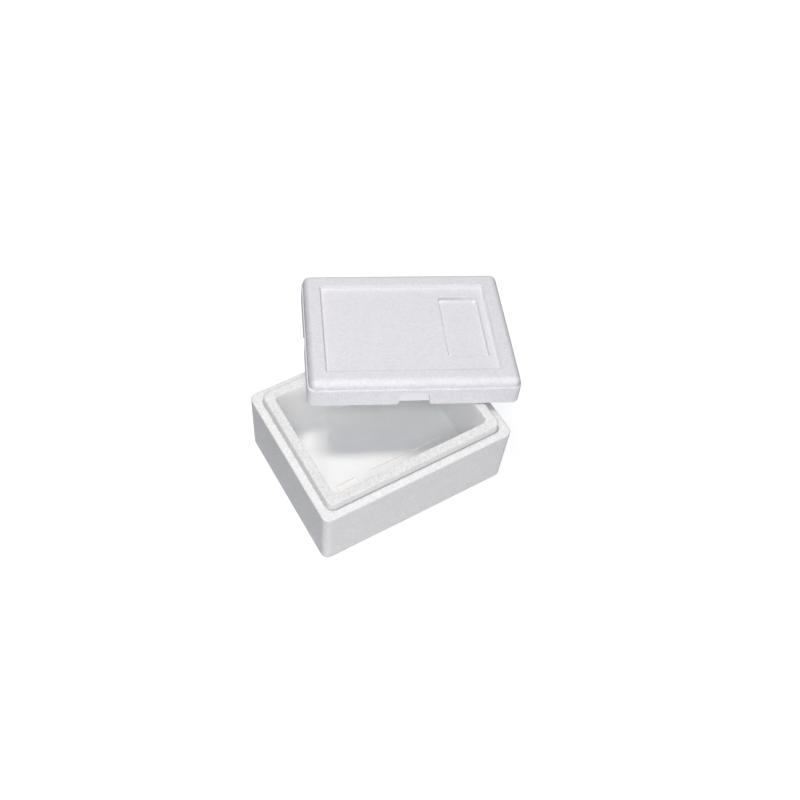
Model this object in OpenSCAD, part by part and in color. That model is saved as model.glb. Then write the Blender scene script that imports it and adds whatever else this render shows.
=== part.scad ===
// Moulded foam box for dry ice: an insulated base with a raised lip, and a deep lid
// that fits over the lip. The lid lies askew across the open base.

/* [Outside] */
// Length of the base and the lid
box_l = 325; // [280:1:420]
// Width of the base and the lid
box_w = 250; // [215:1:320]
// Height of the base up to its rim
base_h = 124; // [95:1:220]
// Radius of the upright corners
corner_r = 12; // [8:0.5:18]
// Rounding along the bottom edge of the base
foot_round = 3; // [1:0.5:5]

/* [Base walls] */
// Width of the flat rim outside the lip
rim_w = 14; // [11:0.5:20]
// Height of the lip above the rim
lip_h = 14; // [9:0.5:17]
// How far the lip's outer face leans in over its height
lip_lean = 0.8; // [0:0.1:1.5]
// Rounding of the lip's outer top edge
lip_round = 6; // [3:0.5:7]
// Width of the flat top of the lip
lip_flat = 9.2; // [6:0.2:14]
// Thickness of the floor
floor_t = 30; // [18:1:45]
// How far each cavity wall leans in from the lip down to the floor
cavity_lean = 3; // [1:0.5:5]
// Radius of the cavity's corners at the top
cavity_r = 9; // [7:0.5:14]

/* [Panels in the cavity floor] */
// Depth of both panels
floor_panel_depth = 2.5; // [1:0.5:5]
// Length of the long panel
floor_panel_l = 136; // [90:1:140]
// Length of the short panel
floor_panel_short_l = 36; // [20:1:40]
// Gap between the two panels
floor_panel_gap = 23; // [12:1:30]
// Distance from the cavity's end wall to the long panel
floor_panel_end = 28; // [20:1:40]
// Width of both panels
floor_panel_w = 26; // [15:1:35]
// Distance from the long wall at the front to the panels
floor_panel_front = 32; // [20:1:45]

/* [Lid] */
// Height of the lid's skirt, up to the ledge
skirt_h = 32; // [25:1:45]
// Height of the lid's crown above the ledge
crown_h = 14.5; // [11:0.5:20]
// Width of the ledge between the skirt and the crown
ledge_w = 2; // [1:0.25:3]
// Rounding along the top edge of the crown
crown_round = 9; // [6:0.5:10]
// Room between the lip and the skirt on each side
lid_fit = 0.5; // [0.3:0.1:1.5]
// Room between the top of the lip and the lid when it is shut
lid_headroom = 4; // [2:0.5:6]

/* [Lid top] */
// Width of the flat border round the recessed panel
border_w = 28.5; // [22:0.5:36]
// Depth of the panel
panel_depth = 6.5; // [3:0.5:8]
// How far the panel's walls lean in over their depth
panel_lean = 2.5; // [1:0.25:4]
// Radius of the panel's corners
panel_r = 4; // [3:0.5:8]
// Length of the label field
label_l = 131.5; // [80:0.5:140]
// Width of the label field
label_w = 64; // [40:0.5:80]
// Depth of the label field below the panel
label_depth = 5; // [2:0.5:6]
// How far the label field's walls lean in over their depth
label_lean = 1.5; // [0.5:0.25:2.5]
// Distance from the panel's end to the label field
label_end = 12.5; // [8:0.5:30]
// Distance from the panel's front edge to the label field
label_front = 34.5; // [10:0.5:36]
// Diameter of the studs in the label field's corners
stud_d = 3.5; // [2:0.5:6]
// Height of the studs
stud_h = 1; // [0.5:0.25:2]
// Distance of each stud from the two nearest edges of the label field's floor
stud_edge = 3.5; // [3:0.5:8]

/* [Finger notches] */
// Width at the bottom of the notches in the long sides
notch_long_w = 54; // [36:1:70]
// Width at the bottom of the notches in the short sides
notch_short_w = 44; // [36:1:60]
// Height of the notches
notch_h = 25.5; // [16:0.5:25.5]
// How far each side of a notch leans in towards its top
notch_lean = 6.5; // [2:0.5:8]
// Radius of the top corners of the notches
notch_r = 6; // [3:0.5:7]
// Depth of the notches in the skirt's face
notch_depth = 8; // [4:0.5:8.5]

/* [How the lid lies] */
// Turn of the lid across the base, in degrees
lid_turn = -25.5; // [-35:0.5:-20]
// Middle of the lid from the middle of the base, along the length
lid_x = 101; // [92:1:106]
// Middle of the lid from the middle of the base, along the width
lid_y = 93; // [85:1:97]
// Gap left under the lid where it touches the lip
lid_rest_gap = 0.25; // [0.15:0.05:0.5]

/* [Hidden] */
$fn = 96;

foam = [0.93, 0.935, 0.945];
sliver = 0.01;

// Plan of the lip, worked in from the outside
lip_l = box_l - 2 * rim_w;
lip_w = box_w - 2 * rim_w;
lip_edge = lip_lean + lip_round;
cavity_l = lip_l - 2 * (lip_edge + lip_flat);
cavity_w = lip_w - 2 * (lip_edge + lip_flat);
lip_top = base_h + lip_h;
cavity_h = lip_top - floor_t;

// Plan of the cavity floor
floor_l = cavity_l - 2 * cavity_lean;
floor_w = cavity_w - 2 * cavity_lean;

// The lid's hollow takes the lip with room to spare
hollow_l = lip_l + 2 * lid_fit;
hollow_w = lip_w + 2 * lid_fit;
hollow_r = corner_r + lid_fit;
hollow_depth = lip_h + lid_headroom;
skirt_t = (box_l - hollow_l) / 2;
lid_top = skirt_h + crown_h;

// The recessed panel and the label field
panel_l = box_l - 2 * border_w;
panel_w = box_w - 2 * border_w;
panel_floor = lid_top - panel_depth;
label_x = panel_l / 2 - label_end - label_w / 2;
label_y = -panel_w / 2 + label_front + label_l / 2;
label_floor = panel_floor - label_depth;

// Where the lid touches the lip. Its skirt crosses the lip twice: over the long wall at
// the back and over the right end wall. It then tips about the line between these two
// places until the roof of its hollow comes down on the lip's corner.
flat_x = lip_l / 2 - lip_edge;
flat_y = lip_w / 2 - lip_edge;
along = [cos(lid_turn), sin(lid_turn)];
across = [-sin(lid_turn), cos(lid_turn)];
left_x = lid_x - hollow_l / 2 * along.x;
left_y = lid_y - hollow_l / 2 * along.y;
touch_back = [left_x + (flat_y - left_y) / across.y * across.x, flat_y];
front_x = lid_x - hollow_w / 2 * across.x;
front_y = lid_y - hollow_w / 2 * across.y;
touch_right = [flat_x, front_y + (flat_x - front_x) / along.x * along.y];
tip_axis = (touch_right - touch_back) / norm(touch_right - touch_back);
tip_way = [-tip_axis.y, tip_axis.x];
flat_r = corner_r - lip_round;
touch_corner = [flat_x - flat_r, flat_y - flat_r] + flat_r * tip_way;
tip_reach = (touch_corner - touch_back) * tip_way;
tip_angle = asin(hollow_depth / tip_reach);

// Sweeps a half section round a rounded rectangle and fills its middle. The section
// starts at x = 0, over the corner's centre, and reaches r at its widest.
module moulded(l, w, r, h) {
    in_l = l - 2 * r;
    in_w = w - 2 * r;
    for (end = [0, 180])
        rotate([0, 0, end]) {
            translate([in_l / 2, in_w / 2, 0])
                rotate_extrude(angle = 90) children();
            translate([in_l / 2, -in_w / 2, 0])
                rotate([0, 0, -90]) rotate_extrude(angle = 90) children();
            translate([in_l / 2, in_w / 2, 0])
                rotate([90, 0, 0]) linear_extrude(in_w) children();
            translate([-in_l / 2, in_w / 2, 0])
                rotate([90, 0, 90]) linear_extrude(in_l) children();
        }
    translate([-in_l / 2, -in_w / 2, 0]) cube([in_l, in_w, h]);
}

// Half section with straight walls that lean by the difference of its two reaches
module wall_section(low_r, high_r, h) {
    polygon([[0, 0], [low_r, 0], [high_r, h], [0, h]]);
}

// Half section whose outer top edge is rounded
module rounded_section(low_r, high_r, h, edge_r) {
    polygon([[0, 0], [low_r, 0], [high_r, h - edge_r], [high_r - edge_r, h], [0, h]]);
    intersection() {
        translate([high_r - edge_r, h - edge_r]) circle(edge_r);
        translate([high_r - edge_r, h - edge_r]) square(edge_r);
    }
}

// Half section of the base's block, with a rounded bottom edge
module block_section() {
    polygon([[0, 0], [corner_r - foot_round, 0], [corner_r, foot_round], [corner_r, base_h], [0, base_h]]);
    intersection() {
        translate([corner_r - foot_round, foot_round]) circle(foot_round);
        translate([corner_r - foot_round, 0]) square(foot_round);
    }
}

// Shallow panel cut into the cavity floor, from its left end
module floor_panel(x, l) {
    translate([x, -floor_w / 2 + floor_panel_front, floor_t - floor_panel_depth])
        cube([l, floor_panel_w, floor_panel_depth + sliver]);
}

module box_base() {
    long_x = floor_l / 2 - floor_panel_end - floor_panel_l;
    short_x = long_x - floor_panel_gap - floor_panel_short_l;
    color(foam)
        difference() {
            union() {
                moulded(box_l, box_w, corner_r, base_h) block_section();
                translate([0, 0, base_h])
                    moulded(lip_l, lip_w, corner_r, lip_h)
                        rounded_section(corner_r, corner_r - lip_lean, lip_h, lip_round);
            }
            translate([0, 0, floor_t])
                moulded(cavity_l, cavity_w, cavity_r, cavity_h)
                    wall_section(cavity_r - cavity_lean, cavity_r, cavity_h);
            floor_panel(long_x, floor_panel_l);
            floor_panel(short_x, floor_panel_short_l);
        }
}

// Outline of a finger notch, seen from outside the skirt
module notch_outline(w) {
    side = norm([notch_lean, notch_h]);
    out = [notch_h / side, notch_lean / side];
    round_x = w / 2 - (notch_r + out.y * (notch_h - notch_r)) / out.x;
    round_y = notch_h - notch_r;
    touch = [round_x, round_y] + notch_r * out;
    polygon([
        [-w / 2, -sliver], [w / 2, -sliver], [w / 2, 0], touch,
        [round_x, notch_h], [-round_x, notch_h], [-touch.x, touch.y], [-w / 2, 0]
    ]);
    for (x = [-round_x, round_x])
        translate([x, round_y]) circle(notch_r);
}

// Finger notch in the skirt's face at a distance from the lid's middle
module finger_notch(turn, reach, w) {
    rotate([0, 0, turn])
        translate([0, -reach + notch_depth, 0])
            rotate([90, 0, 0]) linear_extrude(notch_depth + 1) notch_outline(w);
}

// The lid by itself, with the bottom of its skirt at height 0
module lid_form() {
    difference() {
        union() {
            moulded(box_l, box_w, corner_r, skirt_h)
                wall_section(corner_r, corner_r, skirt_h);
            translate([0, 0, skirt_h])
                moulded(box_l - 2 * ledge_w, box_w - 2 * ledge_w, corner_r, crown_h)
                    rounded_section(corner_r, corner_r, crown_h, crown_round);
        }
        translate([0, 0, -sliver])
            moulded(hollow_l, hollow_w, hollow_r, hollow_depth + sliver)
                wall_section(hollow_r, hollow_r, hollow_depth + sliver);
        translate([0, 0, panel_floor])
            moulded(panel_l, panel_w, panel_r, panel_depth)
                wall_section(panel_r - panel_lean, panel_r, panel_depth);
        translate([label_x, label_y, label_floor])
            moulded(label_w, label_l, panel_r, label_depth)
                wall_section(panel_r - label_lean, panel_r, label_depth);
        for (turn = [0, 180]) {
            finger_notch(turn, box_w / 2, notch_long_w);
            finger_notch(turn + 90, box_l / 2, notch_short_w);
        }
    }
    for (x = [-1, 1], y = [-1, 1])
        translate([
            label_x + x * (label_w / 2 - label_lean - stud_edge),
            label_y + y * (label_l / 2 - label_lean - stud_edge),
            label_floor - sliver
        ])
            cylinder(d = stud_d, h = stud_h + sliver);
}

module lid() {
    color(foam)
        translate([touch_back.x, touch_back.y, lip_top + lid_rest_gap])
            rotate(a = -tip_angle, v = [tip_axis.x, tip_axis.y, 0])
                translate([lid_x - touch_back.x, lid_y - touch_back.y, 0])
                    rotate([0, 0, lid_turn]) lid_form();
}

box_base();
lid();
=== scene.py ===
# %% [markdown]
# # A moulded foam box for dry ice
#
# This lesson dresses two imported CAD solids, the base of a foam box and its loose lid.
# Moulded bead foam is a quiet material: there are no screws or seams to look at, so
# everything rests on soft edges, on the faint pattern of the beads, and on soft light.
# Each step says first what the real thing is, and then why it is made this way.

# %% The frame
import math

import bmesh
import bpy
import numpy as np
from mathutils import Matrix, Vector


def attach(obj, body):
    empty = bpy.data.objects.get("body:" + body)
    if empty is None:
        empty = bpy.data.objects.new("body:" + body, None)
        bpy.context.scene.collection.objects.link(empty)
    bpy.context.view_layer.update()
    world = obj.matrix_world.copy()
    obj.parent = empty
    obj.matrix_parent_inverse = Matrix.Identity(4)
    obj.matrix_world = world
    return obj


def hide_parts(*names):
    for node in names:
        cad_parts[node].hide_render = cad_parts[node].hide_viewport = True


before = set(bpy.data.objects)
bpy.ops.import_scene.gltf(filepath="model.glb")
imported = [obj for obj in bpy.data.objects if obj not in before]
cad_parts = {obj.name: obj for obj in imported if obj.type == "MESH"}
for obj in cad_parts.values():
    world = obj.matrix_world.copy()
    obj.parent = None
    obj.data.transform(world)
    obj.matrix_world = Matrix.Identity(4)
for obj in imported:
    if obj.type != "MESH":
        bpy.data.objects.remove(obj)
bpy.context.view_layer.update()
MM = 0.001

# %% [markdown]
# ## The camera
#
# The photograph looks down into the box from the front left, from about 1.6 m away.
# The camera could be placed by eye, but the box's own edges say where it stood: the
# turn, the height above the horizon, the slight roll and the focal length below bring
# every long edge of both pieces to within half a pixel of the photograph. The picture
# is a crop, so its middle lies a little beside the lens's axis, which is a small shift.

# %% Camera
PICTURE, SENSOR = 800, 36
camera_turn, camera_rise, camera_roll = -30.1336, 56.4874, math.radians(1.7162)
focal_px, camera_far = 989.2966, 1619.838 * MM
foot_px, axis_px = (375.5255, 455.0432), (333.4766, 400.0)


def way_out(turn, rise):
    """The way from the box to something at a turn and a rise in degrees, and the level way across it."""
    turn, rise = math.radians(turn), math.radians(rise)
    level = Vector((math.cos(turn), math.sin(turn), 0))
    return Vector((math.sin(turn) * math.cos(rise), -math.cos(turn) * math.cos(rise), math.sin(rise))), level


def hang(thing, place, right, above, back):
    """Puts a camera or a lamp in its place, looking the opposite way from back."""
    thing.matrix_world = Matrix.Translation(place) @ Matrix((right, above, back)).transposed().to_4x4()
    bpy.context.scene.collection.objects.link(thing)


back, level = way_out(camera_turn, camera_rise)
upright = back.cross(level)
right = math.cos(camera_roll) * level + math.sin(camera_roll) * upright
above = math.cos(camera_roll) * upright - math.sin(camera_roll) * level
foot_x = (foot_px[0] - axis_px[0]) / focal_px * camera_far
foot_y = (axis_px[1] - foot_px[1]) / focal_px * camera_far
camera_place = back * camera_far - right * foot_x - above * foot_y

camera = bpy.data.objects.new("camera", bpy.data.cameras.new("camera"))
hang(camera, camera_place, right, above, back)
camera.data.sensor_width = SENSOR
camera.data.sensor_fit = "HORIZONTAL"
camera.data.lens = focal_px * SENSOR / PICTURE
camera.data.shift_x = (PICTURE / 2 - axis_px[0]) / PICTURE
camera.data.clip_start, camera.data.clip_end = 0.05, 50
bpy.context.scene.camera = camera
print("camera at", [round(v, 3) for v in camera_place])
print("lens", round(camera.data.lens, 2), "shift", round(camera.data.shift_x, 4))

# %% [markdown]
# ## The measures of the box
#
# The looks are built from the same measures as the solids, in millimetres, so that both
# agree to a hair. Every outline of this box is a rounded rectangle, 75 mm longer than
# it is wide. So one section, drawn from the middle outwards, describes a whole piece.
# Each of its points has four values: a reach along the length, a height, the corner
# radius of the outline there, and the rounding of the section's own corner, if any.

# %% Measures
box_l, box_w, base_h = 325.0, 250.0, 124.0
end_x, side_y = box_l / 2, box_w / 2
narrower = end_x - side_y
corner_r, rim_w, lip_h = 12.0, 14.0, 14.0
lip_lean, lip_round = 0.8, 6.0
floor_h, cavity_lean, cavity_r = 30.0, 3.0, 9.0
floor_panel_depth, floor_panel_r = 2.5, 1.5
skirt_h, crown_h, ledge_w = 32.0, 14.5, 2.0
roll_w, roll_h = 11.5, 9.8
border_w, panel_depth, panel_lean, panel_r = 28.5, 6.5, 2.5, 4.0
label_depth, stud_h, stud_r = 5.0, 1.4, 2.4
hollow_depth, lid_fit = 18.0, 0.5
lid_top = skirt_h + crown_h
lip_top = base_h + lip_h
lip_reach = end_x - rim_w
lip_shelf = lip_reach - lip_lean
cavity_reach = lip_reach - 16.0
hollow_reach, hollow_r = lip_reach + lid_fit, corner_r + lid_fit
panel_reach = end_x - border_w
panel_half = panel_reach - narrower
print("base", box_l, "x", box_w, "x", lip_top, "mm, shut box", base_h + lid_top, "mm tall")

# %% [markdown]
# ## Where the lid lies
#
# The lid lies askew. Its skirt rests on the lip in two places, over the back wall and
# over the right end wall, and the lid tips about the line between them until the roof
# of its hollow comes down on the flat of the lip's corner. The place could be read off
# the CAD node's vertices, but working it out again from the same values is exact.

# %% Lid's place
lid_turn, lid_at = math.radians(-25.5), Vector((101.0, 93.0))
rest_gap = 0.25
along = Vector((math.cos(lid_turn), math.sin(lid_turn)))
across = Vector((-math.sin(lid_turn), math.cos(lid_turn)))
lip_edge, flat_r = lip_lean + lip_round, corner_r - lip_round
flat = Vector((lip_reach - lip_edge, lip_reach - narrower - lip_edge))
left_mid = lid_at - hollow_reach * along
front_mid = lid_at - (hollow_reach - narrower) * across
touch_back = left_mid + (flat.y - left_mid.y) / across.y * across
touch_right = front_mid + (flat.x - front_mid.x) / along.x * along
tip_axis = (touch_right - touch_back).normalized()
tip_way = Vector((-tip_axis.y, tip_axis.x))
touch_corner = flat - Vector((flat_r, flat_r)) + flat_r * tip_way
tip = math.asin(hollow_depth / (touch_corner - touch_back).dot(tip_way))
hinge = Vector((touch_back.x, touch_back.y, lip_top + rest_gap))
lid_place = (
    Matrix.Translation(hinge)
    @ Matrix.Rotation(-tip, 4, Vector((tip_axis.x, tip_axis.y, 0)))
    @ Matrix.Translation((lid_at.x - hinge.x, lid_at.y - hinge.y, 0))
    @ Matrix.Rotation(lid_turn, 4, "Z")
)
print("the lid tips by", round(math.degrees(tip), 2), "degrees")

# %% [markdown]
# ## Soft sections
#
# Foam can't hold a sharp edge: the beads are 3 mm across, and the mould's edges wear.
# A bevel modifier gives all edges the same softness. Here the rim, the lip and the
# floor each have their own, so the roundings are written into the section itself.

# %% Section and ring helpers
def soften(section, steps=5):
    """Turns each corner of a section that has a rounding into a short arc."""
    points = []
    for i, (reach, height, corner, rounding) in enumerate(section):
        here = np.array([reach, height, corner], float)
        if not rounding:
            points.append(here)
            continue
        to_last = np.array(section[i - 1][:3]) - here
        to_next = np.array(section[i + 1][:3]) - here
        last_way = to_last / np.hypot(*to_last[:2])
        next_way = to_next / np.hypot(*to_next[:2])
        half = math.acos(np.clip(last_way[:2] @ next_way[:2], -1, 1)) / 2
        start = here + last_way * rounding / math.tan(half)
        end = here + next_way * rounding / math.tan(half)
        middle = last_way[:2] + next_way[:2]
        centre = here[:2] + middle / np.hypot(*middle) * rounding / math.sin(half)
        first = math.atan2(*(start[:2] - centre)[::-1])
        sweep = math.atan2(*(end[:2] - centre)[::-1]) - first
        sweep = (sweep + math.pi) % (2 * math.pi) - math.pi
        for share in np.linspace(0, 1, steps + 1):
            angle = first + sweep * share
            x, z = centre + rounding * np.array([math.cos(angle), math.sin(angle)])
            if abs(end[0] - start[0]) > 1e-6:
                share = (x - start[0]) / (end[0] - start[0])
            points.append(np.array([x, z, start[2] + (end[2] - start[2]) * share]))
    return points


def ring(reach, height, corner, steps=9):
    """A rounded rectangle, anticlockwise, as a list of points."""
    points = []
    for quarter, (sx, sy) in enumerate(((1, 1), (-1, 1), (-1, -1), (1, -1))):
        x, y = sx * (reach - corner), sy * (reach - narrower - corner)
        for step in range(steps + 1):
            angle = math.pi / 2 * (quarter + step / steps)
            points.append((x + corner * math.cos(angle), y + corner * math.sin(angle), height))
    return points


def sweep_section(mesh, section):
    """Skins a section's rings one after another; returns the first and the last loop."""
    loops = [[mesh.verts.new(p) for p in ring(*point)] for point in section]
    for low, high in zip(loops, loops[1:]):
        count = len(low)
        for i in range(count):
            j = (i + 1) % count
            mesh.faces.new((low[i], low[j], high[j], high[i]))
    return loops[0], loops[-1]


# %% [markdown]
# ## Pressed panels
#
# The floor of the cavity and the top of the lid have shallow fields pressed into them.
# Cutting them out with booleans leaves hard corners. A grid whose lines crowd together
# near the edges can simply be pressed down, with rounded walls and corners. Its border
# is then zipped to the nearest ring of the section.

# %% Pressed panel helpers
def bands(middle, length, out, within):
    """Where a field starts and ends: two (from, to) bands that reach out and within its edges."""
    start, stop = middle - length / 2, middle + length / 2
    return [(start - out, start + within), (stop - within, stop + out)]


def graded(half, crowded=(), fine=0.4, coarse=14.0):
    """Grid lines from -half to half that lie close together in each of the crowded bands."""
    low, high = -half, half
    wanted = set(np.linspace(low, high, max(2, round((high - low) / coarse))))
    for start, stop in crowded:
        wanted |= set(np.arange(start, stop + fine / 2, fine))
    lines = [low]
    for value in sorted(wanted):
        if value - lines[-1] > fine * 0.7 and high - value > fine * 0.7:
            lines.append(value)
    return np.array(lines + [high])


def inside_by(x, y, centre, size, radius):
    """How far each point lies inside a rounded rectangle; negative outside."""
    dx = np.abs(x - centre[0]) - size[0] / 2 + radius
    dy = np.abs(y - centre[1]) - size[1] / 2 + radius
    outer = np.hypot(np.maximum(dx, 0), np.maximum(dy, 0))
    return radius - outer - np.minimum(np.maximum(dx, dy), 0)


def ease(value):
    """0 to 1 with a soft start and end."""
    value = np.clip(value, 0, 1)
    return value * value * (3 - 2 * value)


def press_sheet(mesh, loop, lines_x, lines_y, height_at, upward=True):
    """A grid with pressed heights, zipped to the loop of vertices that surrounds it."""
    places = np.stack(np.meshgrid(lines_x, lines_y, indexing="ij"), axis=-1)
    heights = height_at(places[..., 0], places[..., 1])
    grid = [[mesh.verts.new((*p, z)) for p, z in zip(*row)] for row in zip(places, heights)]
    last_i, last_j = len(lines_x) - 1, len(lines_y) - 1
    for i in range(last_i):
        for j in range(last_j):
            quad = (grid[i][j], grid[i + 1][j], grid[i + 1][j + 1], grid[i][j + 1])
            mesh.faces.new(quad if upward else quad[::-1])
    border = [grid[i][last_j] for i in range(last_i, 0, -1)] + [grid[0][j] for j in range(last_j, 0, -1)]
    border += [grid[i][0] for i in range(last_i)] + [grid[last_i][j] for j in range(last_j)]
    zip_loops(mesh, loop, border, upward)


def zip_loops(mesh, outer, inner, upward):
    """Fills the strip between two loops that both run anticlockwise round the middle."""
    def angles(loop):
        found = [math.atan2(v.co.y, v.co.x) % (2 * math.pi) for v in loop]
        start = found.index(min(found))
        return loop[start:] + loop[: start + 1], found[start:] + found[:start] + [found[start] + 2 * math.pi]

    outer, outer_angle = angles(outer)
    inner, inner_angle = angles(inner)
    i = j = 0
    while i < len(outer) - 1 or j < len(inner) - 1:
        if j == len(inner) - 1 or (i < len(outer) - 1 and outer_angle[i + 1] <= inner_angle[j + 1]):
            face, i = (outer[i], outer[i + 1], inner[j]), i + 1
        else:
            face, j = (outer[i], inner[j + 1], inner[j]), j + 1
        mesh.faces.new(face if upward else face[::-1])


# %% [markdown]
# ## From mesh to piece
#
# Large flat faces next to tiny rounded ones shade badly when normals are averaged.
# Weighted normals let the large faces win, so that flats stay flat and roundings glow.

# %% Piece helper
def make_piece(name, mesh, place=Matrix.Identity(4)):
    """Makes an object of a mesh in mm, moved to its place and scaled to metres."""
    bmesh.ops.recalc_face_normals(mesh, faces=mesh.faces)
    data = bpy.data.meshes.new(name)
    mesh.to_mesh(data)
    mesh.free()
    data.transform(Matrix.Scale(MM, 4) @ place)
    data.shade_smooth()
    piece = bpy.data.objects.new(name, data)
    bpy.context.scene.collection.objects.link(piece)
    return piece


def apply_modifiers(piece):
    """Bakes a piece's modifiers into its mesh."""
    bpy.context.view_layer.update()
    seen = piece.evaluated_get(bpy.context.evaluated_depsgraph_get())
    shaped = bpy.data.meshes.new_from_object(seen)
    piece.modifiers.clear()
    piece.data = shaped
    shaped.name = piece.name
    print(piece.name, "has", sum(len(p.vertices) - 2 for p in shaped.polygons), "triangles")


def weigh_normals(piece):
    """Lets large flat faces set the normals at their borders."""
    weighted = piece.modifiers.new("weighted normals", "WEIGHTED_NORMAL")
    weighted.weight = 100


# %% [markdown]
# ## The base
#
# The base is one thick-walled tray: a plain outside, a flat rim that carries the lid's
# skirt, a lip that locates the lid, and a cavity that narrows downwards so that the
# foam lets go of its mould. At the foot of the lip the photograph shows a dark line, so
# a crease as fine as a hair runs there. In the floor lie two pressed panels. The section
# starts under the middle, climbs over the rim and the lip, and ends on the floor.

# %% Base
base_section = soften([
    (150.6, 0, 0.1, 0),                                                    # underside
    (end_x, 0, corner_r, 3.0),
    (end_x, 7.0, corner_r, 0),                                             # outer wall
    (end_x, base_h, corner_r, 2.6),
    (158.0, base_h, 7.5, 0),                                               # rim
    (lip_reach + 2.5, base_h, 12.5, 0),
    (lip_reach + 1.3, base_h, 12.3, 0.4),                                  # crease
    (lip_reach + 0.1, base_h - 1.5, corner_r, 0.2),
    (lip_shelf, lip_top - lip_round, corner_r - lip_lean, 0),              # lip
    (lip_shelf, lip_top, corner_r - lip_lean, 3.2),
    (141.6, lip_top, 5.1, 0),
    (cavity_reach + 2.2, lip_top, cavity_r + 2.2, 0),
    (cavity_reach, lip_top, cavity_r, 1.6),                                # cavity
    (cavity_reach - cavity_lean, floor_h, cavity_r - cavity_lean, 1.2),
    (125.6, floor_h, 2.1, 0),                                              # floor
    (124.5, floor_h, 1.0, 0),
], steps=6)

# The middle and the size of each panel.
FLOOR_PANELS = (((33.5, -47.0), (136.0, 26.0)), ((-75.5, -47.0), (36.0, 26.0)))


def floor_at(x, y):
    """Height of the cavity's floor with its two pressed panels."""
    z = np.full(x.shape, floor_h)
    for centre, size in FLOOR_PANELS:
        z -= floor_panel_depth * ease((inside_by(x, y, centre, size, floor_panel_r) + 0.5) / 1.4)
    return z


mesh = bmesh.new()
under, floor_edge = sweep_section(mesh, base_section)
lines_x, lines_y = bands(0, 242, 2, 2), bands(0, 167, 2, 2)
for centre, size in FLOOR_PANELS:
    lines_x += bands(centre[0], size[0], 2, 2)
    lines_y += bands(centre[1], size[1], 2, 2)
press_sheet(mesh, floor_edge, graded(123, lines_x), graded(85.5, lines_y), floor_at)
press_sheet(mesh, under, graded(150), graded(112.5), lambda x, y: 0 * x, upward=False)
base = make_piece("foam_base", mesh)
weigh_normals(base)
apply_modifiers(base)
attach(base, "base")
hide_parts("box_base")

# %% [markdown]
# ## The lid
#
# The lid is a deep tray turned over. From outside it shows a skirt with a narrow ledge,
# a smaller crown with a rolled edge, a recessed panel, and a still deeper field for a
# label with a tiny stud in each corner. The section runs from the roof of the hollow
# underneath, down the inside of the skirt, and up over the outside to the panel. The
# crown's edge is rolled wider than it is high, so it is a quarter of an ellipse.

# %% Lid's form
def crown_roll(steps=10):
    """The rolled edge of the crown, from its side to its top."""
    points = []
    for angle in np.linspace(0, math.pi / 2, steps + 1):
        inset = roll_w * (1 - math.cos(angle))
        drop = roll_h * (1 - math.sin(angle))
        points.append((end_x - ledge_w - inset, lid_top - drop, max(corner_r - inset, 1.5), 0))
    return points


lid_section = soften([
    (136.6, hollow_depth, 0.1, 0),                                         # hollow
    (hollow_reach, hollow_depth, hollow_r, 2.0),
    (hollow_reach, 0, hollow_r, 1.0),
    (155.5, 0, 6.0, 0),                                                    # skirt
    (end_x, 0, corner_r, 1.3),
    (end_x, skirt_h, corner_r, 0.9),
    (end_x - ledge_w, skirt_h, corner_r, 0.5),                             # ledge
    *crown_roll(),
    (146.5, lid_top, 2.0, 0),                                              # border
    (panel_reach + 2.0, lid_top, 6.0, 0),
    (panel_reach, lid_top, panel_r, 1.5),                                  # panel
    (panel_reach - panel_lean, lid_top - panel_depth, 1.5, 0.9),
    (130.2, lid_top - panel_depth, 0.4, 0),
], steps=6)

# The label field's middle, size and corner radius; each stud lies 5 mm in from its edges.
label_x, label_y, label_w, label_l, label_r = 89.5, 3.75, 64.0, 131.5, 4.0
LABEL = (label_x, label_y), (label_w, label_l), label_r
stud_x, stud_y = label_w / 2 - 5, label_l / 2 - 5
STUDS = [(label_x + sx * stud_x, label_y + sy * stud_y) for sx in (-1, 1) for sy in (-1, 1)]


def panel_at(x, y):
    """Height of the lid's panel with the label field and its studs."""
    z = lid_top - panel_depth - label_depth * ease((inside_by(x, y, *LABEL) + 0.35) / 2.2)
    for sx, sy in STUDS:
        z += stud_h * ease((stud_r - np.hypot(x - sx, y - sy)) / 1.1)
    return z


def notch_cutter(width, reach, turn):
    """A block with a notch's outline: steep sides, rounded upper corners and flared feet."""
    side, high, top_r, foot_r, deep, past = width / 2 - 3.6, 25.2, 9.0, 6.5, 8.0, 4.0
    half = [(side + foot_r + 1, -past)]
    for a in np.radians(np.linspace(82, 0, 7)):
        half.append((side + foot_r - foot_r * math.cos(a), foot_r - foot_r * math.sin(a)))
    for a in np.radians(np.linspace(0, 90, 10)):
        half.append((side - 0.9 - top_r + top_r * math.cos(a), high - top_r + top_r * math.sin(a)))
    outline = half + [(-x, z) for x, z in half[::-1]]
    block = bmesh.new()
    near = [block.verts.new((x, -reach - past, z)) for x, z in outline]
    far = [block.verts.new((x, -reach + deep, z)) for x, z in outline]
    for i in range(len(outline)):
        j = (i + 1) % len(outline)
        block.faces.new((near[i], near[j], far[j], far[i]))
    block.faces.new(near[::-1])
    block.faces.new(far)
    return make_piece("notch_cutter", block, Matrix.Rotation(math.radians(turn), 4, "Z"))


mesh = bmesh.new()
roof, panel_edge = sweep_section(mesh, lid_section)
sheet_x, sheet_y = 129.8, 92.3
lines_x = bands(0, 2 * sheet_x, 0, 1.2) + bands(label_x, label_w, 1.5, 7.5)
lines_y = bands(0, 2 * sheet_y, 0, 1.2) + bands(label_y, label_l, 1.5, 7.5)
press_sheet(mesh, panel_edge, graded(sheet_x, lines_x), graded(sheet_y, lines_y), panel_at)
press_sheet(mesh, roof, graded(136), graded(98.5), lambda x, y: 0 * x + hollow_depth, upward=False)
lid = make_piece("foam_lid", mesh)
print("lid is drawn about its own middle:", [round(v / MM, 1) for v in lid.dimensions])

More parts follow.
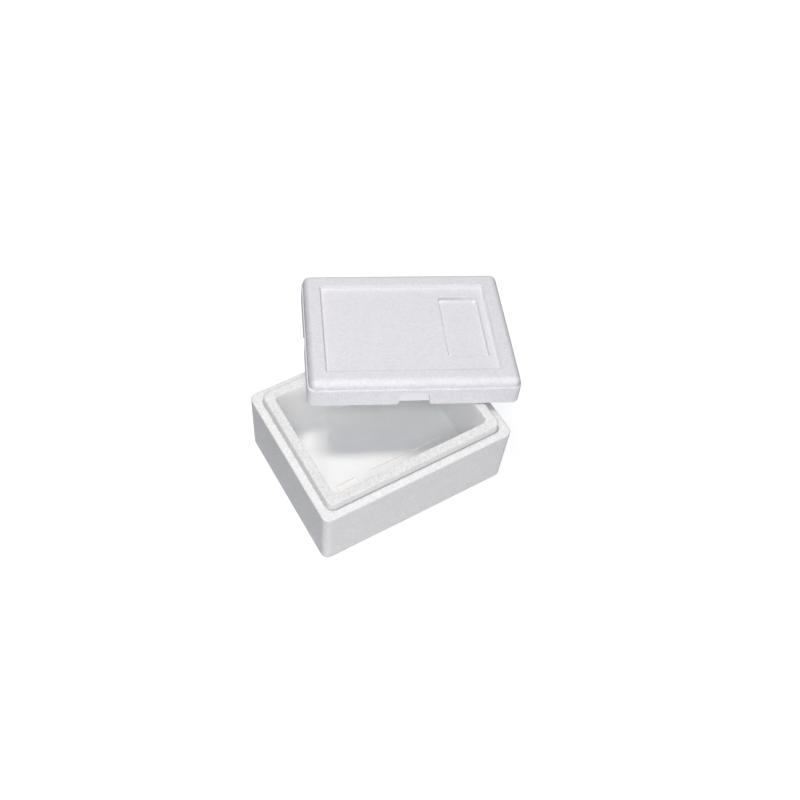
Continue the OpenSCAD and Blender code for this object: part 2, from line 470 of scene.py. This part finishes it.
# %% [markdown]
# ## Finger notches
#
# Four notches in the skirt let fingers get under the lid. Their sides lean, so they
# don't follow the section's rings, and a boolean is the plain way to cut them. A bevel
# that takes only the sharp edges left by the cut softens them like the rest.

# %% Notches
cutters = [notch_cutter(54, side_y, turn) for turn in (0, 180)]
cutters += [notch_cutter(44, end_x, turn) for turn in (90, 270)]
for cutter in cutters:
    cut = lid.modifiers.new("cut", "BOOLEAN")
    cut.operation, cut.solver, cut.object = "DIFFERENCE", "EXACT", cutter
apply_modifiers(lid)
for cutter in cutters:
    bpy.data.objects.remove(cutter)
edge_round = lid.modifiers.new("edge round", "BEVEL")
edge_round.width, edge_round.segments = 0.9 * MM, 3
edge_round.limit_method, edge_round.angle_limit = "ANGLE", math.radians(38)
weigh_normals(lid)
apply_modifiers(lid)

# %% [markdown]
# ## Worn places, painted light and painted shade
#
# Hands and shelves rub the rim, the lip and the lid's outside, but not the cavity, the
# walls, the pressed panel or the floor of the notches. A material could find them by
# height, but the lid lies tilted. So each vertex stores three values of its own: how
# strongly its beads show, how fresh its colour is, and how much painted shade it takes.
# The fresh colour is real wear on the base, but on the lid it paints light onto the
# panel's walls, the studs, the notches and the hollow. The painted shade darkens the
# base's foot, the lip's side and the crease at its foot, the panel's and the label's
# edges, and the lid's rolled ends.

# %% Stored values
def vertex_places(piece):
    """x, y and z of a piece's vertices in mm, as three arrays."""
    place = np.empty(len(piece.data.vertices) * 3, np.float32)
    piece.data.vertices.foreach_get("co", place)
    return place.reshape(-1, 3).T / MM


def store(piece, **values):
    """Stores one number for each vertex under each name."""
    for name, value in values.items():
        layer = piece.data.attributes.new(name, "FLOAT", "POINT")
        layer.data.foreach_set("value", value.astype(np.float32))
        print(piece.name, name, "from", round(float(value.min()), 2), "to", round(float(value.max()), 2))


def inside_outline(x, y, reach, corner):
    """How far each point lies inside one of the box's own outlines."""
    return inside_by(x, y, (0, 0), (2 * reach, 2 * (reach - narrower)), corner)


def mark_base(piece):
    """Beads show on the rim and the lip's top; painted shade darkens the lip's side, the crease at its foot
    and the box's foot.
    """
    x, y, z = vertex_places(piece)
    from_outside = inside_outline(x, y, end_x, corner_r)
    from_mouth = inside_outline(x, y, cavity_reach, cavity_r)
    in_cavity = (from_mouth > -0.05) & (z > 20)
    handled = (z > 121.3) & ~in_cavity
    bead_show = np.where(handled, np.interp(z, [124.1, 124.2, 134.0, lip_top], [1.0, 0.3, 0.3, 1.25]), 0.75)
    bead_show[in_cavity] = 0.22
    # Painted shade: the outer walls grow darker towards their feet, where little light comes up from the
    # floor.
    crease = np.interp(z, [2.5, 3.5, 7.0], [0.9, 0.4, 0.0])
    # Painted shade in the hair-fine crease at the foot of the lip, and on the lip's outer side, which the
    # lamps light less.
    crease[(from_outside > 12.5) & (z > 100) & (z < 123.97) & ~in_cavity] = 1.0
    lip = handled & (z > base_h + 1) & (from_mouth < -5)
    crease[lip] = np.interp(z[lip], [134.5, 137.5], [1.0, 0.0])
    store(piece, beads=bead_show, fresh=np.where(handled, 0.0, 1.0), crease=crease)


def mark_lid(piece):
    """Hollow, panel's walls, studs and notches take a lighter colour as painted light; painted shade greys
    the panel's and label's edges and the lid's rolled ends.
    """
    x, y, z = vertex_places(piece)
    out_x, out_y = np.abs(x), np.abs(y)
    panel = (z < lid_top - 0.9) & (z > lid_top - 14) & (out_x < panel_reach) & (out_y < panel_half)
    wall_in = panel_lean + 0.2
    wall = (out_x > panel_reach - wall_in) | (out_y > panel_half - wall_in)
    stud = np.min([np.hypot(x - sx, y - sy) for sx, sy in STUDS], axis=0) < stud_r
    long_side = (np.abs(out_y - (side_y - 4.4)) < 4.0) & (out_x < 29)
    short_side = (np.abs(out_x - (end_x - 4.4)) < 4.0) & (out_y < 24)
    notch = (long_side | short_side) & (z < 26)
    notch_floor = notch & ((out_y < side_y - 7.6) | (np.abs(out_x - (end_x - 8)) < 0.4))
    hollow = (inside_outline(x, y, hollow_reach, hollow_r) > -1.2) & (z < hollow_depth + 0.1)
    fresh, bead_show = np.zeros(len(x)), np.full(len(x), 0.8)
    # Painted light: the panel's walls, the studs, the notches' sides and roof, and the hollow underneath take
    # the lighter fresh colour. The hollow's stands in for light soaking through the foam into the cavity. The
    # panel and the notches' floors keep the worn colour.
    for places, share, show in (
        (panel, 0.3, 0.64), (panel & wall, 0.6, 0.2), (panel & stud, 1.0, 0.05),
        (notch, 1.0, 0.05), (notch_floor, 0.3, 0.05), (hollow, 1.0, 0.22),
    ):
        fresh[places], bead_show[places] = share, show
    # Painted shade along the panel's and the label's edges, strongest along the front, where the walls shade
    # the floor beside them.
    from_panel = inside_outline(x, y, panel_reach, panel_r)
    panel_edge = np.interp(lid_top - z, [0, 0.02, 0.5, 0.95], [0, 1, 1, 0])
    label_edge = np.interp(inside_by(x, y, *LABEL), [-1.0, -0.3, 0.4, 1.1], [0, 1, 1, 0])
    panel_edge *= np.where(y < 2 - panel_half, 2.6, np.where(x < 2 - panel_reach, 0.7, 0.3))
    label_edge *= np.where(y < label_y - label_l / 2 + 2, 2.2, np.where(x < label_x, 1.3, 0.1))
    crease = np.where((from_panel > -2) & (z > lid_top - 2), panel_edge, panel * label_edge)
    # Painted shade on the crown's rolled short ends, which face away from the lamps; darker on the left end.
    painted_roll_shade = np.interp(out_x, [151.0, 156.0, 160.5], [0, 0.8, 1.0]) * np.where(x < 0, 1.6, 0.8)
    crease = np.where((z > skirt_h + 0.5) & (from_panel < -5), painted_roll_shade, crease)
    store(piece, beads=bead_show, fresh=fresh, crease=crease)


mark_base(base)
mark_lid(lid)
lid.data.transform(Matrix.Scale(MM, 4) @ lid_place @ Matrix.Scale(1 / MM, 4))
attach(lid, "lid")
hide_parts("lid")

# %% [markdown]
# ## Bead foam
#
# Bead foam is made of small balls pressed together by steam until they share flat
# walls. On the skin each ball shows as a cell about 3 mm across, with a hair-thin
# groove round it, and a tiny pit where three balls meet. A Voronoi texture is that very
# shape. One group gives the grooves, the pits, a tone for each bead and a height, and
# both foams use it with their own values.

# %% Node helpers
def add(tree, kind, label="", **properties):
    """Adds a node with a label and some of its properties."""
    node = tree.nodes.new(kind)
    node.label = label
    for name, value in properties.items():
        setattr(node, name, value)
    return node


def feed(tree, place, value):
    """Gives an input a number, or links a socket to it."""
    if isinstance(value, (int, float)):
        place.default_value = value
    else:
        tree.links.new(value, place)


def maths(tree, operation, *values, label="", clamp=False):
    """A Math node whose inputs are numbers or sockets; returns its output."""
    node = add(tree, "ShaderNodeMath", label, operation=operation, use_clamp=clamp)
    for place, value in zip(node.inputs, values):
        feed(tree, place, value)
    return node.outputs[0]


def remap(tree, label, value, smooth=False, **limits):
    """Stretches a value from its limits to others, 0 and 1 if not given; returns the result."""
    node = add(tree, "ShaderNodeMapRange", label, interpolation_type="SMOOTHSTEP" if smooth else "LINEAR")
    for name, limit in {"value": value, **limits}.items():
        feed(tree, node.inputs[name.replace("_", " ").title()], limit)
    return node.outputs[0]


def new_group(name, numbers, results):
    """A shader group with a Vector, some numbers and some results, and its two end nodes."""
    group = bpy.data.node_groups.new(name, "ShaderNodeTree")
    group.interface.new_socket(name="Vector", in_out="INPUT", socket_type="NodeSocketVector")
    for title, value in numbers.items():
        made = group.interface.new_socket(name=title, in_out="INPUT", socket_type="NodeSocketFloat")
        made.default_value = value
    for title in results:
        group.interface.new_socket(name=title, in_out="OUTPUT", socket_type="NodeSocketFloat")
    return group, group.nodes.new("NodeGroupInput"), group.nodes.new("NodeGroupOutput")


# %% Bead pattern group
beads, given, made = new_group(
    "bead pattern", {"Bead Size": 0.003, "Groove Share": 0.13}, ("Groove", "Bead Tone", "Pit", "Height"))
per_metre = maths(beads, "DIVIDE", 1.0, given.outputs["Bead Size"])
scaled = add(beads, "ShaderNodeVectorMath", "beads per metre", operation="SCALE")
beads.links.new(given.outputs["Vector"], scaled.inputs[0])
beads.links.new(per_metre, scaled.inputs["Scale"])
cells = add(beads, "ShaderNodeTexVoronoi", "beads", feature="F1")
walls = add(beads, "ShaderNodeTexVoronoi", "walls between beads", feature="DISTANCE_TO_EDGE")
for node in (cells, walls):
    node.inputs["Scale"].default_value = 1.0
    beads.links.new(scaled.outputs[0], node.inputs["Vector"])
from_wall, from_middle = walls.outputs["Distance"], cells.outputs["Distance"]
share = given.outputs["Groove Share"]
groove = remap(beads, "groove", from_wall, smooth=True, from_max=share, to_min=1.0, to_max=0.0)
pit = remap(beads, "pits where beads meet", from_middle, smooth=True, from_min=0.62, from_max=0.84)
split = add(beads, "ShaderNodeSeparateColor", "one tone for each bead")
beads.links.new(cells.outputs["Color"], split.inputs[0])
tone = split.outputs["Red"]
dome = maths(beads, "SUBTRACT", 1.0, maths(beads, "POWER", from_middle, 2.0))
height = maths(beads, "SUBTRACT", dome, maths(beads, "MULTIPLY", groove, 0.8))
height = maths(beads, "ADD", height, maths(beads, "MULTIPLY", tone, 0.5))
for result, place in zip((groove, tone, pit, height), made.inputs):
    beads.links.new(result, place)
print("group", beads.name, "has", len(beads.nodes), "nodes")

# %% [markdown]
# ## Moulded skin
#
# Steam leaves the skin slightly cloudy: broad soft patches where the beads were
# pressed harder, and a fine tooth like paper. Two noise textures of very different
# sizes give both, and the foams share them as a second group.

# %% Moulded skin group
skin, given, made = new_group("moulded skin", {"Cloud Size": 0.026, "Tooth Size": 0.0016}, ("Cloud", "Tooth"))
for name, size, detail in (("Cloud", "Cloud Size", 4.0), ("Tooth", "Tooth Size", 2.0)):
    noise = add(skin, "ShaderNodeTexNoise", name.lower())
    noise.inputs["Detail"].default_value = detail
    noise.inputs["Roughness"].default_value = 0.55
    skin.links.new(given.outputs["Vector"], noise.inputs["Vector"])
    skin.links.new(maths(skin, "DIVIDE", 1.0, given.outputs[size]), noise.inputs["Scale"])
    spread = remap(skin, name.lower() + " spread", noise.outputs["Fac"], from_min=0.3, from_max=0.7)
    skin.links.new(spread, made.inputs[name])
print("group", skin.name, "has", len(skin.nodes), "nodes")

# %% [markdown]
# ## The two foams
#
# Both pieces are the same white foam, but their skins differ. The lid's top is smooth
# and slightly violet. The rim and the lip of the base are handled and rubbed, so there
# the beads stand out more. The values stored in the vertices pick these places. The
# beads' colour and their depth are scaled together, because both come from the same
# wear. The stored fresh colour also paints light on parts of the lid, and painted shade
# in the creases, at the foot, along the panel's edges and on the rolled ends is added last.

# %% Foam material
def mix_colours(tree, label, share, first, second):
    """A Mix node for colours, each a triple or a socket; returns its result."""
    factor, colour_a, colour_b, result = 0, 6, 7, 2
    node = add(tree, "ShaderNodeMix", label, data_type="RGBA")
    tree.links.new(share, node.inputs[factor])
    for number, colour in ((colour_a, first), (colour_b, second)):
        if isinstance(colour, tuple):
            node.inputs[number].default_value = (*colour, 1)
        else:
            tree.links.new(colour, node.inputs[number])
    return node.outputs[result]


def foam_material(name, worn, fresh, dark, grain, relief, bead_size):
    """White bead foam, worn or fresh, with painted light and painted shade from stored values; grain is the
    strength of the beads' colour, relief their depth.
    """
    material = bpy.data.materials.new(name)
    material.use_nodes = True
    tree = material.node_tree
    shader = tree.nodes["Principled BSDF"]
    place = add(tree, "ShaderNodeTexCoord", "place on the piece")
    pattern = add(tree, "ShaderNodeGroup", "beads", node_tree=beads)
    clouds = add(tree, "ShaderNodeGroup", "skin", node_tree=skin)
    for node in (pattern, clouds):
        tree.links.new(place.outputs["Object"], node.inputs["Vector"])
    pattern.inputs["Bead Size"].default_value = bead_size
    tooth, cloud = clouds.outputs["Tooth"], clouds.outputs["Cloud"]
    show, fresh_and_painted_light_share, painted_shade_share = (
        add(tree, "ShaderNodeAttribute", name, attribute_name=name).outputs["Fac"]
        for name in ("beads", "fresh", "crease"))

    tint = 0.0
    for output, share in (
        (pattern.outputs["Bead Tone"], 1.0), (pattern.outputs["Groove"], 0.35),
        (pattern.outputs["Pit"], 0.5), (tooth, 0.4), (cloud, 0.2),
    ):
        label = output.name.lower() + " tint"
        tint = maths(tree, "MULTIPLY_ADD", output, grain * share, tint, label=label)
    tint = maths(tree, "MULTIPLY", tint, show, label="tint where beads show")
    # Painted shade: the stored shade value pulls the colour towards the dark colour.
    tint = maths(tree, "MULTIPLY_ADD", painted_shade_share, 0.3, tint, label="tint with painted shade", clamp=True)
    # The fresh colour is real wear on the base and painted light on the lid.
    changed = remap(tree, "where the colour changes", fresh_and_painted_light_share, from_min=0.3)
    foam = mix_colours(tree, "foam colour", changed, worn, fresh)
    tree.links.new(mix_colours(tree, "with the beads and painted shade", tint, foam, dark), shader.inputs["Base Color"])

    gloss = remap(tree, "roughness", tooth, to_min=0.42, to_max=0.62)
    tree.links.new(gloss, shader.inputs["Roughness"])
    shader.inputs["IOR"].default_value = 1.45

    raised = maths(tree, "MULTIPLY_ADD", tooth, 0.4, pattern.outputs["Height"], label="beads and tooth")
    depth = maths(tree, "MULTIPLY", raised, show, label="depth where beads show")
    bump = add(tree, "ShaderNodeBump", "relief")
    bump.inputs["Distance"].default_value = relief
    tree.links.new(depth, bump.inputs["Height"])
    tree.links.new(bump.outputs[0], shader.inputs["Normal"])
    print(name, "has", len(tree.nodes), "nodes")
    return material


base_foam = foam_material(
    "base foam", worn=(0.945, 0.945, 0.945), fresh=(1.0, 1.0, 1.0), dark=(0.5, 0.51, 0.52),
    grain=0.24, relief=0.14 * MM, bead_size=2.4 * MM)
# The lid's fresh colour is painted light; both dark colours tint the beads and the painted shade.
lid_foam = foam_material(
    "lid foam", worn=(0.858, 0.859, 0.903), fresh=(0.99, 0.99, 1.0), dark=(0.5, 0.51, 0.53),
    grain=0.24, relief=0.11 * MM, bead_size=3.1 * MM)
for piece, foam in ((base, base_foam), (lid, lid_foam)):
    piece.data.materials.clear()
    piece.data.materials.append(foam)

# %% [markdown]
# ## The floor
#
# The photograph shows the box on pure white, yet its walls grow darker towards their
# feet, so little light comes up from below. A floor that is plain white can't give
# both. Here its paint is a mid grey for the light that bounces off it, and it glows
# for camera rays alone, which leaves it pale with only a faint shadow round the box.

# %% Floor
floor_data = bpy.data.meshes.new("floor")
floor_half = 12
corners = [(sx * floor_half, sy * floor_half, 0) for sx, sy in ((-1, -1), (1, -1), (1, 1), (-1, 1))]
floor_data.from_pydata(corners, [], [(0, 1, 2, 3)])
floor = bpy.data.objects.new("floor", floor_data)
floor.location.z = -0.2 * MM
bpy.context.scene.collection.objects.link(floor)
floor_paint = bpy.data.materials.new("floor paint")
floor_paint.use_nodes = True
tree = floor_paint.node_tree
floor_shader = tree.nodes["Principled BSDF"]
floor_shader.inputs["Base Color"].default_value = (0.34, 0.35, 0.36, 1)
floor_shader.inputs["Roughness"].default_value = 1.0
floor_shader.inputs["Specular IOR Level"].default_value = 0.0
floor_shader.inputs["Emission Color"].default_value = (1, 1, 1, 1)
ray = add(tree, "ShaderNodeLightPath", "which ray")
glow = maths(tree, "MULTIPLY", ray.outputs["Is Camera Ray"], 0.8, label="glow for the camera")
tree.links.new(glow, floor_shader.inputs["Emission Strength"])
floor_data.materials.append(floor_paint)
print("floor is", 2 * floor_half, "m wide and lies", -floor.location.z / MM, "mm under the box")

# %% [markdown]
# ## The lamps
#
# The shadow that the lid throws into the cavity says where the main lamp hangs: almost
# overhead, a little to the back left, and about 18 by 7 degrees wide. The other lamps'
# strengths were chosen so that together they give each face the tone it has in the
# photograph. The low ones stand round the camera.

# %% Lamps
LAMP_AIM, LAMP_FAR = Vector((0.03, 0.03, 0.09)), 3.0


def lamp(name, turn, rise, size, power, tint, wide=None):
    """A soft lamp at a turn and rise in degrees; wide is the way of its long side, level if not given."""
    way, level = way_out(turn, rise)
    side = Vector(wide) if wide else level
    side = (side - way * side.dot(way)).normalized()
    data = bpy.data.lights.new(name, "AREA")
    data.shape, data.size, data.size_y = "RECTANGLE", *size
    data.energy, data.color = power, tint
    place = LAMP_AIM + way * LAMP_FAR
    hang(bpy.data.objects.new(name, data), place, side, way.cross(side), way)
    print(name, "hangs at", [round(v, 2) for v in place])


lamp("main lamp", 209.6, 75.3, (0.95, 0.37), 39.9, (1.0, 0.94, 0.908), wide=right)
lamp("back lamp", 150, 60, (1.5, 1.0), 15.3, (1.0, 0.91, 0.836))
lamp("camera lamp", -30, 57, (1.2, 0.8), 22.7, (0.913, 0.984, 1.0))
lamp("lower lamp", -30, 25, (2.2, 1.4), 8.4, (1.0, 0.91, 0.94))
lamp("lowest lamp", -30, 6, (2.2, 0.6), 30.5, (1.0, 0.96, 0.958))
lamp("right lamp", 10, 22, (2.0, 1.4), 7.2, (1.0, 0.91, 0.856))
sky = bpy.data.worlds.new("sky")
sky.use_nodes = True
sky.node_tree.nodes["Background"].inputs["Color"].default_value = (0.794, 0.88, 1.0, 1)
sky.node_tree.nodes["Background"].inputs["Strength"].default_value = 0.184
bpy.context.scene.world = sky
bpy.context.scene.view_settings.view_transform = "Standard"
